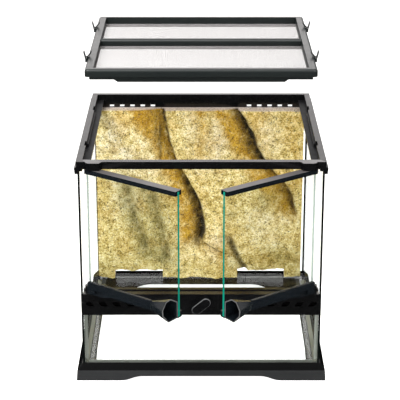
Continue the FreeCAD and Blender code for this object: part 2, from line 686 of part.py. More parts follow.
def build_clips():
    """Spring clips on the lid's sides: two lugs and a pin on the rim, and a V-shaped lever."""
    half, y_mid, wide = plain(dim("lid_half")), plain(dim("clip_y")), plain(dim("clip_width"))
    px, pz = plain(dim("clip_pivot_x")), plain(dim("clip_pivot_z"))
    lift = Placement(Vector(0, 0, plain(dim("lid_lift"))), Rotation())
    lug_thick, lug_high, pin_radius, barrel_radius = 2.5, 7.0, 1.0, 2.2
    mounts = []
    for s, side in ((-1, "left"), (1, "right")):
        for e, end in ((-1, "front"), (1, "rear")):
            y0 = e * y_mid - wide / 2

            def at(x, z, y=y0):
                return Vector(s * x, y, z)

            lugs = [Part.makeBox(px + 2 - half, lug_thick, lug_high,
                                 Vector(min(s * half, s * (px + 2)), y, pz - 4.5))
                    for y in (y0 - 3, y0 + wide + 0.5)]
            pin = Part.makeCylinder(pin_radius, wide + 3, at(px, pz, y0 - 1.5), Vector(0, 1, 0))
            mounts.append(lugs[0].fuse(lugs[1:] + [pin]).removeSplitter())
            barrel = Part.makeCylinder(barrel_radius, wide, at(px, pz), Vector(0, 1, 0))
            arms = [
                [at(px + 0.8, pz), at(px + 2.2, pz), at(px + 5.6, pz + 14), at(px + 4.4, pz + 14.6)],
                [at(px + 1.2, pz + 0.6), at(px - 0.6, pz + 1.2), at(px - 9.8, pz + 12.4),
                 at(px - 8.9, pz + 13.4)]]
            shape = barrel
            for arm in arms:
                face = Part.Face(Part.makePolygon(arm + arm[:1]))
                shape = shape.fuse(face.extrude(Vector(0, wide, 0)))
            bore = pin_radius + plain(dim("pin_clearance"))
            shape = shape.cut(Part.makeCylinder(bore, wide + 2, at(px, pz, y0 - 1), Vector(0, 1, 0)))
            item = node(f"clip_{end}_{side}", solid(f"clip_{end}_{side}_solid", shape.removeSplitter()))
            item.Placement = lift
    item = node("clip_mounts", solid("clip_mount_group", Part.makeCompound(mounts)))
    item.Placement = lift


# ---------------------------------------------------------------- rock background

def build_rock():
    """A foam wall with a few deep folds: sections across the width, joined by flat faces."""
    left, right, back = plain(dim("rock_left")), plain(dim("rock_right")), plain(dim("rock_back"))
    top, low = plain(dim("rock_top")), plain(floor_level) + 0.2
    levels = [low, 90.0, 180.0, 270.0, 350.0, top]
    # (place across the width, thickness at each level)
    folds = [(-left, (30, 32, 34, 33, 31, 24)), (-165, (36, 42, 38, 40, 36, 26)),
             (-95, (32, 38, 44, 38, 40, 28)), (-45, (34, 26, 30, 26, 24, 20)),
             (15, (44, 44, 40, 42, 38, 26)), (80, (34, 34, 26, 30, 34, 24)),
             (135, (34, 42, 42, 30, 28, 24)), (right, (28, 32, 34, 32, 26, 20))]
    sections = []
    for x, depths in folds:
        ring = [(x, back, low)] + [(x, back - d, z) for d, z in zip(depths, levels)] + [(x, back, top)]
        sections.append(wire(ring))
    wall = Part.makeLoft(sections, True, True)
    # two low openings at the foot of the wall
    opening_high = 18.0
    for x0, x1 in ((-187, -83), (77, 179)):
        wall = wall.cut(Part.makeBox(x1 - x0, 80, opening_high + 1, Vector(x0, back - 75, low - 1)))
    node("rock_background", solid("rock_wall", wall))


build_base()
build_glass()
build_seams()
build_top_frame()
build_inlets()
build_strip()
build_lock()
build_door(1, "left")
build_door(-1, "right")
build_lid()
build_clips()
build_rock()
doc.recompute()

for item in doc.Objects:
    if {"Invalid", "Error"} & set(item.State):
        raise RuntimeError(f"{item.Label} failed: {item.State}")
os.makedirs("parts", exist_ok=True)
for name, item in NODES.items():
    shape = item.Shape
    if shape.isNull() or not shape.isValid() or not shape.Solids:
        raise RuntimeError(f"{name} has no valid solid")
    shape.exportStep(f"parts/{name}.step")
print(len(NODES), "nodes written")
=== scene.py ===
"""Looks of a front-opening glass cage: black plastic, green-edged glass, woven screens and a rock wall.

Everything is in metres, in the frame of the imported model: +Z up, the doors face -Y.
"""

import json
import math

import bpy
import numpy as np
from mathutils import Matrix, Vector


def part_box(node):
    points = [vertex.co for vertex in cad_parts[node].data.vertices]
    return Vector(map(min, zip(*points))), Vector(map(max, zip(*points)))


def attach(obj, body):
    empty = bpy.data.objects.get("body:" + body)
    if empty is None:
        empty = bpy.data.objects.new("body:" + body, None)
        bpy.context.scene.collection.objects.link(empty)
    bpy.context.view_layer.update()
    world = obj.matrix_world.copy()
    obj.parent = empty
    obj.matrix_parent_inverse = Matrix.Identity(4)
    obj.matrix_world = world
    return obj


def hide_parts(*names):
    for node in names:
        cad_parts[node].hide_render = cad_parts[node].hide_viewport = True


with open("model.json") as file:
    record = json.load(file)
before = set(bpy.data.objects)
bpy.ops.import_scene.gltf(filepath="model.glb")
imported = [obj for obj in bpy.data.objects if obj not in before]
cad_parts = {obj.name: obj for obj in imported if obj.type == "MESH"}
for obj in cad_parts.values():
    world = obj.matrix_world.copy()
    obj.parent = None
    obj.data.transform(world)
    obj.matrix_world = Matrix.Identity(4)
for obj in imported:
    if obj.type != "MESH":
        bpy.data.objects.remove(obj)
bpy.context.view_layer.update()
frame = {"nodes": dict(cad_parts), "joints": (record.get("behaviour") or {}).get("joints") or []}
NODES = frame["nodes"]
MM = 0.001


def new_object(name, data):
    """A new object in the scene, with this mesh, lamp or camera."""
    item = bpy.data.objects.new(name, data)
    bpy.context.scene.collection.objects.link(item)
    return item


# ---------------------------------------------------------------- shader helpers

class Shader:
    """A new material with short ways to add and join its nodes."""

    def __init__(self, name):
        self.material = bpy.data.materials.new(name)
        self.material.use_nodes = True
        self.tree = self.material.node_tree
        self.surface = self.tree.nodes["Principled BSDF"]
        self.output = self.tree.nodes["Material Output"]
        self.place = self.add("ShaderNodeTexCoord").outputs["Object"]

    def add(self, kind, inputs=(), **settings):
        made = self.tree.nodes.new(kind)
        for key, value in settings.items():
            setattr(made, key, value)
        for key, value in dict(inputs).items():
            self.feed(made, key, value)
        return made

    def feed(self, target, key, value):
        """Sets an input to a value, or links an output to it."""
        if isinstance(value, bpy.types.NodeSocket):
            self.tree.links.new(value, target.inputs[key])
        else:
            target.inputs[key].default_value = value

    def set(self, **values):
        """Sets Principled inputs; an underscore in a name stands for a space."""
        for key, value in values.items():
            self.feed(self.surface, key.replace("_", " "), value)

    def noise(self, size, detail=3.0, rough=0.55, stretch=(1, 1, 1), warp=0.0):
        """Noise from 0 to 1 whose lumps are about size metres across."""
        where = self.add("ShaderNodeMapping", {"Vector": self.place, "Scale": stretch}).outputs[0]
        inputs = {"Vector": where, "Scale": 1 / size, "Detail": detail, "Roughness": rough,
                  "Distortion": warp}
        return self.add("ShaderNodeTexNoise", inputs).outputs["Fac"]

    def ramp(self, source, stops):
        """A colour or grey ramp; stops are (place, grey or colour)."""
        made = self.add("ShaderNodeValToRGB", {"Fac": source})
        points = made.color_ramp.elements
        while len(points) < len(stops):
            points.new(0.5)
        for point, (place, colour) in zip(points, stops):
            point.position = place
            point.color = rgba(colour)
        return made.outputs["Color"]

    def mix(self, share, first, second):
        """First where share is 0 and second where it is 1; each is a grey, a colour or an output."""
        made = self.add("ShaderNodeMix", data_type="RGBA")
        self.feed(made, 0, share)
        for socket, value in ((6, first), (7, second)):
            self.feed(made, socket, value if isinstance(value, bpy.types.NodeSocket) else rgba(value))
        return made.outputs[2]

    def math(self, operation, first, second, clamp=False):
        made = self.add("ShaderNodeMath", operation=operation, use_clamp=clamp)
        self.feed(made, 0, first)
        self.feed(made, 1, second)
        return made.outputs[0]

    def range(self, source, low, high):
        """Source, 0 to 1, spread between low and high."""
        made = self.add("ShaderNodeMapRange", {"Value": source, "To Min": low, "To Max": high})
        return made.outputs[0]

    def attribute(self, name):
        return self.add("ShaderNodeAttribute", attribute_name=name).outputs["Fac"]

    def bump(self, height, distance, strength=1.0, under=None):
        inputs = {"Height": height, "Distance": distance, "Strength": strength}
        if under is not None:
            inputs["Normal"] = under
        return self.add("ShaderNodeBump", inputs).outputs["Normal"]

    def show(self, shader):
        self.tree.links.new(shader, self.output.inputs["Surface"])


def rgba(value):
    """A grey or an RGB colour as RGBA."""
    if isinstance(value, (int, float)):
        return (value, value, value, 1.0)
    return tuple(value) + (1.0,) if len(value) == 3 else tuple(value)


# ---------------------------------------------------------------- materials

def plastic(name, dark, light, rough_low, rough_high, grain, specular=0.5, sink=0.00015):
    """Black moulded plastic: faint flow marks, fine grain and a trace of dust."""
    shader = Shader(name)
    flow = shader.noise(0.06, 4.0, 0.6, (1, 1, 2.5), 0.4)
    haze = shader.noise(0.018, 5.0, 0.65)
    dust = shader.ramp(shader.noise(0.0016, 2.0, 0.5), [(0.66, 0.0), (0.78, 1.0)])
    colour = shader.mix(flow, dark, light)
    colour = shader.mix(shader.math("MULTIPLY", dust, 0.03), colour, (0.35, 0.34, 0.32))
    fine = shader.noise(0.0007, 2.0, 0.5)
    wide = shader.noise(0.03, 2.0, 0.4)
    normal = shader.bump(fine, grain, 0.25)
    shader.set(Base_Color=colour, Roughness=shader.range(haze, rough_low, rough_high),
               Specular_IOR_Level=specular, Normal=shader.bump(wide, sink, 0.3, normal))
    return shader.material


def glass_face(name, tint, mirror=1.0):
    """A clear pane: what is behind it shows through, and it mirrors more at a glancing angle."""
    shader = Shader(name)
    smear = shader.noise(0.05, 5.0, 0.6, (1, 1, 0.35), 0.8)
    clear = shader.add("ShaderNodeBsdfTransparent", {"Color": rgba(tint)})
    film = shader.add("ShaderNodeBsdfGlossy", {"Roughness": shader.range(smear, 0.0, 0.06)})
    # seen from inside the sheet the node inverts the index, so it gets the inverse there
    inside = shader.add("ShaderNodeNewGeometry").outputs["Backfacing"]
    share = shader.add("ShaderNodeFresnel", {"IOR": shader.range(inside, 1.5, 1 / 1.5)}).outputs[0]
    share = shader.math("MULTIPLY", share, mirror)
    both = shader.add("ShaderNodeMixShader", {0: share, 1: clear.outputs[0], 2: film.outputs[0]})
    shader.show(both.outputs[0])
    return shader.material


def glass_edge(name, deep, bright, glow):
    """The ground edge of a pane, where light piped through the sheet comes out green, shown as a painted
    glow.
    """
    shader = Shader(name)
    streak = shader.noise(0.02, 4.0, 0.6, (1, 1, 0.15))
    shader.set(Base_Color=shader.mix(streak, deep, bright), Roughness=0.22, Specular_IOR_Level=0.6,
               Emission_Color=rgba(bright), Emission_Strength=glow,
               Normal=shader.bump(shader.noise(0.0009, 2.0), 0.00005, 0.4))
    return shader.material


def silicone(name):
    """Clear sealant over black plastic: soft grey, smoothed along the corner by hand."""
    shader = Shader(name)
    tool = shader.noise(0.012, 1.0, 0.4, (1, 1, 0.4))
    shade = shader.noise(0.03, 3.0)
    shader.set(Base_Color=shader.mix(shade, (0.17, 0.185, 0.16), (0.27, 0.28, 0.25)),
               Roughness=shader.range(shade, 0.3, 0.5), Normal=shader.bump(tool, 0.00004, 0.4))
    return shader.material


def steel(name, dark, light, rough, size):
    """Bare metal with fine drawn lines."""
    shader = Shader(name)
    lines = shader.noise(size, 3.0, 0.6, (1, 1, 8))
    shader.set(Base_Color=shader.mix(lines, dark, light), Metallic=1.0,
               Roughness=shader.range(lines, rough, rough + 0.2),
               Normal=shader.bump(lines, 0.00005, 0.4))
    return shader.material


def wire_steel():
    """Stainless wire, bright but not mirror-like, a little dirty in places."""
    shader = Shader("screen_wire")
    patch = shader.noise(0.04, 4.0, 0.6)
    shader.set(Base_Color=shader.mix(patch, (0.20, 0.187, 0.185), (0.30, 0.283, 0.28)), Metallic=0.2,
               Roughness=shader.range(patch, 0.38, 0.55))
    return shader.material


def vent_screen():
    """A fine black mesh: crossed threads as bump and shade."""
    shader = Shader("vent_screen")
    thread_pitch = 1.2 * MM
    wave = {"Vector": shader.place, "Scale": 1 / thread_pitch / 2}
    across = shader.add("ShaderNodeTexWave", wave, bands_direction="X").outputs["Fac"]
    along = shader.add("ShaderNodeTexWave", wave, bands_direction="Z").outputs["Fac"]
    threads = shader.math("MAXIMUM", across, along)
    shader.set(Base_Color=shader.mix(threads, 0.004, 0.05), Metallic=0.6, Roughness=0.45,
               Normal=shader.bump(threads, 0.0003, 0.8))
    return shader.material


def rock_paint():
    """Painted foam: cream ridges, golden flanks that are partly painted half-shade, painted shade in the
    folds, olive painted shade on the soft folds, and dark specks.
    """
    shader = Shader("rock_paint")
    gold, dark = shader.attribute("gold"), shader.attribute("dark")
    olive, raw, pale = (shader.attribute(word) for word in ("olive", "raw", "pale"))
    patch = shader.noise(0.045, 5.0, 0.62, warp=0.5)
    blotch = shader.noise(0.013, 5.0, 0.7, warp=0.3)
    grit = shader.noise(0.0028, 4.0, 0.75)
    fine = shader.noise(0.0012, 3.0, 0.7)
    tone = shader.mix(0.55, blotch, grit)
    cream = shader.ramp(tone, [(0.39, (0.13, 0.085, 0.010)), (0.45, (0.44, 0.31, 0.065)),
                               (0.51, (0.70, 0.56, 0.20)), (0.59, (0.94, 0.86, 0.53))])
    chalk = shader.ramp(tone, [(0.38, (0.26, 0.20, 0.08)), (0.46, (0.66, 0.56, 0.32)),
                               (0.58, (0.97, 0.92, 0.75))])
    cream = shader.mix(pale, cream, chalk)
    ochre = shader.ramp(tone, [(0.36, (0.10, 0.045, 0.001)), (0.47, (0.38, 0.20, 0.008)),
                               (0.62, (0.66, 0.42, 0.04))])
    stain = shader.ramp(tone, [(0.36, (0.09, 0.075, 0.012)), (0.62, (0.38, 0.33, 0.10))])
    wash = shader.math("MULTIPLY", shader.ramp(patch, [(0.48, 0.0), (0.66, 1.0)]), 0.40)
    warm = shader.math("ADD", gold, wash, clamp=True)
    # gold is paint tone, and down the great folds' flanks a painted half-shade
    colour = shader.mix(warm, cream, ochre)
    # olive is painted shade along the soft folds and towards the foot
    colour = shader.mix(olive, colour, stain)
    # dark is painted shade in the folds, along the crease and in the pits
    colour = shader.mix(dark, colour, (0.022, 0.014, 0.002))
    rough_edge = shader.ramp(grit, [(0.35, (0.40, 0.31, 0.26)), (0.60, (0.76, 0.66, 0.60))])
    colour = shader.mix(raw, colour, rough_edge)
    specks = shader.ramp(shader.noise(0.0042, 3.0, 0.8), [(0.39, 1.0), (0.43, 0.0)])
    colour = shader.mix(shader.math("MULTIPLY", specks, 0.85), colour, (0.05, 0.035, 0.006))
    glints = shader.ramp(fine, [(0.58, 0.0), (0.68, 1.0)])
    colour = shader.mix(shader.math("MULTIPLY", glints, 0.40), colour, (0.96, 0.90, 0.70))
    normal = shader.bump(grit, 0.0022, 0.9)
    shader.set(Base_Color=colour, Roughness=shader.range(blotch, 0.72, 0.92), Specular_IOR_Level=0.25,
               Normal=shader.bump(fine, 0.0006, 0.6, normal))
    return shader.material


# ---------------------------------------------------------------- CAD nodes

def paint(name, material):
    """Gives a CAD node one material."""
    slots = NODES[name].data.materials
    slots.clear()
    slots.append(material)


def zones(name, materials, choose):
    """Gives each face of a CAD node the material whose number choose(centre, normal) returns."""
    mesh = NODES[name].data
    mesh.materials.clear()
    for material in materials:
        mesh.materials.append(material)
    for face in mesh.polygons:
        face.material_index = int(choose(face.center, face.normal))


def soften(name, width):
    """Rounds the sharp edges of a CAD node, as a mould does, without changing its mesh."""
    item = NODES[name]
    weld = item.modifiers.new("weld", "WELD")
    weld.merge_threshold = 0.01 * MM
    flat = item.modifiers.new("flat", "DECIMATE")
    flat.decimate_type = "DISSOLVE"
    flat.angle_limit = math.radians(0.5)
    bevel = item.modifiers.new("round", "BEVEL")
    bevel.width = width
    bevel.segments = 2
    bevel.limit_method = "ANGLE"
    bevel.angle_limit = math.radians(28)
    flats = item.modifiers.new("flats", "WEIGHTED_NORMAL")
    flats.mode = "FACE_AREA"
    flats.weight = 50


def pane_faces(name, face, edge, hinge_edge=None, hinge=0.0):
    """The two broad sides of a pane get one material and its edges another.

    A door's edge next to its hinge line, at x = hinge, catches no light and gets its own: a pale painted
    light line with a faint painted glow.
    """
    mesh = NODES[name].data
    mesh.materials.clear()
    for material in (face, edge, hinge_edge or edge):
        mesh.materials.append(material)
    areas = {}
    for p in mesh.polygons:
        key = tuple(abs(round(v, 2)) for v in p.normal)
        areas[key] = areas.get(key, 0.0) + p.area
    broad = Vector(max(areas, key=areas.get))
    for p in mesh.polygons:
        flat = Vector(tuple(abs(v) for v in p.normal))
        near_hinge = hinge_edge is not None and abs(p.center.x - hinge) < HINGE_REACH
        p.material_index = 0 if flat.dot(broad) > 0.99 else 2 if near_hinge else 1


# the doors' angle from shut, and how far from its hinge line a door's edge counts as the hinge's
DOOR_ANGLE = math.radians(36.5)
HINGE_REACH = 20 * MM
# levels and places that part the zones of one moulding from each other
RAIL_CREST, HANDLE_MOUTH = 0.4205, -0.33
LEDGE_LIMIT, SIDE_RAIL, FRONT_BAR = 0.434, 0.205, -0.21
FASCIA_OUT, SEAT_LIMIT = 0.234, 0.03

GLOSS = plastic("gloss_black", (0.0020, 0.0021, 0.0022), (0.0045, 0.0046, 0.005), 0.16, 0.27, 0.00001)
SATIN = plastic("satin_black", (0.006, 0.009, 0.009), (0.012, 0.016, 0.015), 0.30, 0.42, 0.00003)
MATTE = plastic("matte_black", (0.004, 0.004, 0.0045), (0.009, 0.009, 0.010), 0.5, 0.7, 0.00005, 0.2)
DEEP = plastic("deep_black", (0.0012, 0.0012, 0.0013), (0.0025, 0.0025, 0.0027), 0.12, 0.2, 0.00001, 0.12)
# a paler grey copy of the black plastic for the base's upright faces: painted light
LIT_FASCIA = plastic("lit_fascia_grey", (0.016, 0.017, 0.018), (0.026, 0.027, 0.028), 0.32, 0.42, 0.00004)
DOOR_BLACK = plastic("blue_black", (0.0035, 0.005, 0.0065), (0.007, 0.010, 0.013), 0.16, 0.26, 0.00002, 0.7)
# a pale grey copy of the black plastic for the seat under the floor glass: a painted reflection of the
# bright background
SEAT_SHEEN = plastic("seat_painted_sheen", (0.045, 0.048, 0.05), (0.065, 0.068, 0.07), 0.08, 0.14, 0.000002, 1.0, 0.00001)
RAIL = plastic("rail_black", (0.005, 0.005, 0.0052), (0.010, 0.010, 0.0105), 0.30, 0.42, 0.00002, 0.35)
# a paler copy of the black plastic for the rails' upward faces: a painted sheen where they face the light
TOP_SHEEN = plastic("top_sheen_black", (0.085, 0.078, 0.078), (0.13, 0.12, 0.12), 0.3, 0.4, 0.00002)
# a paler copy of the black plastic for rounded rims: a painted highlight
RIM_HIGHLIGHT = plastic("rim_highlight_black", (0.06, 0.062, 0.065), (0.13, 0.13, 0.13), 0.2, 0.3, 0.00002, 0.6)
TANK_FACE = glass_face("tank_glass_face", (0.985, 0.993, 0.989), 0.3)
DOOR_FACE = glass_face("door_glass_face", (0.982, 0.993, 0.988))
# the doors' edge at the hinge: a pale painted light line with a faint painted glow
HINGE_EDGE_LIGHT = glass_edge("hinge_edge_painted_light", (0.36, 0.44, 0.39), (0.58, 0.66, 0.61), 0.12)
DARK_EDGE = glass_edge("sealed_glass_edge", (0.0015, 0.0022, 0.002), (0.003, 0.005, 0.0045), 0.0)
# the door edges' green glow is painted light
DOOR_EDGE = glass_edge("door_glass_edge", (0.0, 0.115, 0.075), (0.001, 0.20, 0.14), 0.30)
STEEL = steel("pin_steel", 0.35, 0.6, 0.25, 0.002)

for name in ("vent_strip", "inlet_plate_left", "inlet_plate_right", "lock_spindle"):
    paint(name, GLOSS)
for name in ("lid_frame", "lid_crossbar", "screen_retainer", "clip_mounts"):
    paint(name, SATIN)
for name in ("lock_cam", "lock_retainer"):
    paint(name, STEEL)
for name in ("floor_glass", "left_glass", "right_glass", "back_glass", "front_glass"):
    pane_faces(name, TANK_FACE, DARK_EDGE)
paint("silicone_seams", silicone("silicone_bead"))
paint("vent_mesh", vent_screen())
for side, across in (("left", 1), ("right", -1)):
    paint(f"{side}_bottom_rail", DOOR_BLACK)
    for part in ("upper_pin", "lower_pin", "strike"):
        paint(f"{side}_{part}", STEEL)
    paint(f"cable_gate_{side}", MATTE)
    for end in ("front", "rear"):
        paint(f"clip_{end}_{side}", SATIN)
    hinge = next(j for j in frame["joints"] if j["name"] == f"{side}_door_hinge")
    pane_faces(f"{side}_door_glass", DOOR_FACE, DOOR_EDGE, HINGE_EDGE_LIGHT, hinge["pos_m"][0])
    # the upper side of each top rail gets a pale painted sheen, and the rim of each hollow handle a painted
    # highlight
    zones(f"{side}_top_rail", (DOOR_BLACK, TOP_SHEEN),
          lambda at, normal: normal.z > 0.9 and at.z > RAIL_CREST)
    outward = Vector((across * math.cos(DOOR_ANGLE), -math.sin(DOOR_ANGLE), 0))
    zones(f"{side}_handle", (DOOR_BLACK, RIM_HIGHLIGHT),
          lambda at, normal: normal.dot(outward) > 0.8 and at.y < HANDLE_MOUTH)


def frame_zone(at, normal):
    """1 for the ledges inside the top frame, which catch no light, and 2 for its side rails."""
    if normal.z > 0.9 and at.z < LEDGE_LIMIT:
        return 1
    return 2 if abs(at.x) > SIDE_RAIL and at.y > FRONT_BAR else 0


def base_zone(at, normal):
    """1 for the polished slope, 2 for the upright fascia, painted paler grey as painted light, and 3 for
    the seat under the glass, painted pale grey as a painted reflection.
    """
    if 0.2 < normal.z < 0.95:
        return 1
    if max(abs(at.x), abs(at.y)) > FASCIA_OUT:
        return 2
    return 3 if normal.z > 0.95 and at.z < SEAT_LIMIT else 0


zones("top_frame", (GLOSS, MATTE, RAIL), frame_zone)
zones("base_frame", (GLOSS, DEEP, LIT_FASCIA, SEAT_SHEEN), base_zone)
# the knob's rounded rim is painted paler than its front, as a painted highlight
zones("lock_knob", (GLOSS, RIM_HIGHLIGHT), lambda at, normal: 0.25 < -normal.y < 0.8)


# ---------------------------------------------------------------- rock background

CELL = 1.5 * MM
# how far the relief stands out from the wall's back: at least, before the folds, and at most
THINNEST, PLAIN, THICKEST = 6 * MM, 31 * MM, 43.5 * MM
# two low openings at the foot of the rock wall, as (from, to) across it
NOTCHES = ((-0.187, -0.083), (0.077, 0.179))
NOTCH_HIGH = 18 * MM


def blend(value, low, high):
    """Smooth step from 0 at low to 1 at high."""
    t = np.clip((value - low) / (high - low), 0, 1)
    return t * t * (3 - 2 * t)


def bell(value, middle, width):
    """Smooth hump from 0 to 1 around middle."""
    return np.exp(-((value - middle) / width) ** 2)


def mounds(x, z, places):
    """The sum of smooth lumps on the wall, each as (height, across, up, wide, tall)."""
    return sum(height * np.exp(-((x - across) / wide) ** 2 - ((z - up) / tall) ** 2)
               for height, across, up, wide, tall in places)


def lumps(rng, x, z, size, octaves, fall=0.5, stretch=1.0):
    """Smooth random relief from about -1 to 1, whose largest lumps are size across."""
    knots = 96
    total = np.zeros_like(x)
    weight, span = 1.0, 0.0
    for _ in range(octaves):
        grid = rng.uniform(-1, 1, (knots, knots))
        u = x / size + rng.uniform(8, 40)
        v = z / size / stretch + rng.uniform(8, 40)
        i, j = np.floor(u).astype(int), np.floor(v).astype(int)
        fu, fv = u - i, v - j
        fu, fv = fu * fu * (3 - 2 * fu), fv * fv * (3 - 2 * fv)
        i, j = i % (knots - 1), j % (knots - 1)
        top = grid[i, j] * (1 - fu) + grid[i + 1, j] * fu
        low = grid[i, j + 1] * (1 - fu) + grid[i + 1, j + 1] * fu
        total += weight * (top * (1 - fv) + low * fv)
        span += weight
        weight *= fall
        size *= 0.5
    return total / span


def fold(x, z, path, depth, width, lip, fade=20 * MM):
    """A fold that runs down the wall: a sharp drop on its right side and a long flank on its left.

    Returns how deep it cuts, how far left of the fold's line each point is, as a share of width, and
    how present the fold is at each level, from 0 past its ends to 1.
    """
    levels = np.array([p[1] for p in path])[::-1]
    places = np.array([p[0] for p in path])[::-1]
    line = np.interp(z, levels, places)
    left = (line - x) / width
    cut = np.where(left > 0, np.exp(-np.maximum(left, 0) ** 1.3 * 2.2), blend(x - line, lip, 0))
    ends = blend(z, levels[0] - fade, levels[0] + fade) * blend(z, levels[-1] + fade, levels[-1] - fade)
    return depth * cut * ends, left, ends


def rock_folds(x, z):
    """The wall's folds by name; each path is points (x, z) from the top down."""
    flank = (30 + 28 * blend(z, 0.30, 0.41) + 14 * blend(z, 0.26, 0.20)) * MM
    great_left = [(-0.080, 0.424), (-0.074, 0.379), (-0.067, 0.343), (-0.060, 0.318), (-0.049, 0.288),
                  (-0.034, 0.261), (-0.019, 0.236), (-0.006, 0.209), (0.002, 0.177), (0.004, 0.142),
                  (-0.006, 0.112)]
    great_right = [(0.062, 0.424), (0.076, 0.407), (0.091, 0.387), (0.106, 0.359), (0.114, 0.331),
                   (0.143, 0.282), (0.163, 0.261), (0.178, 0.243), (0.191, 0.217), (0.200, 0.18)]
    foot = [(0.060, 0.125), (0.070, 0.10), (0.092, 0.06), (0.10, 0.03)]
    outer_groove = [(-0.158, 0.27), (-0.150, 0.21), (-0.136, 0.16), (-0.122, 0.12), (-0.112, 0.08)]
    inner_groove = [(-0.112, 0.25), (-0.095, 0.20), (-0.088, 0.16), (-0.076, 0.10), (-0.072, 0.06)]
    seam = [(0.0, 0.118), (0.014, 0.108), (0.042, 0.092), (0.062, 0.086)]
    crease = [(-0.092, 0.375), (-0.086, 0.34), (-0.080, 0.30)]
    return {
        "great_left": fold(x, z, great_left, 26 * MM, flank, 5 * MM),
        "great_right": fold(x, z, great_right, 25 * MM, 50 * MM, 6 * MM),
        "foot": fold(x, z, foot, 16 * MM, 22 * MM, 7 * MM, 12 * MM),
        "outer_groove": fold(x, z, outer_groove, 11 * MM, 18 * MM, 14 * MM),
        "inner_groove": fold(x, z, inner_groove, 10 * MM, 18 * MM, 12 * MM),
        "seam": fold(x, z, seam, 8 * MM, 14 * MM, 9 * MM, 8 * MM),
        "crease": fold(x, z, crease, 6 * MM, 7 * MM, 4 * MM, 12 * MM),
    }


def rock_relief(rng, x, z, swayed, folds, top):
    """How far each point stands out from the wall's back; swayed is x with a slow random drift."""
    depth = PLAIN + 5 * MM * lumps(rng, x, z, 110 * MM, 3, stretch=1.6)
    depth += 3.5 * MM * lumps(rng, swayed, z, 34 * MM, 4, 0.55, 1.8)
    depth += MM * mounds(swayed, z, ((7, 0.03, 0.075, 0.04, 0.05), (6, 0.135, 0.13, 0.06, 0.07),
                                     (4, 0.02, 0.29, 0.05, 0.10), (3, -0.17, 0.33, 0.04, 0.06)))
    depth -= sum(cut for cut, _, _ in folds.values())
    depth -= MM * mounds(swayed, z, ((3, 0.064, 0.176, 0.012, 0.012), (3, 0.10, 0.150, 0.018, 0.009),
                                     (5, 0.165, 0.07, 0.05, 0.03)))
    # the wall thins towards its top edge, more on the left, and towards both its sides
    depth -= (8 - 9 * blend(x, -0.05, 0.18)) * MM * blend(z, top - 30 * MM, top)
    depth -= 6 * MM * blend(np.abs(x), 0.20, 0.221)
    depth += 1.0 * MM * lumps(rng, x, z, 8 * MM, 3, 0.7) + 0.45 * MM * lumps(rng, x, z, 3 * MM, 2)
    return np.clip(depth, THINNEST, THICKEST)


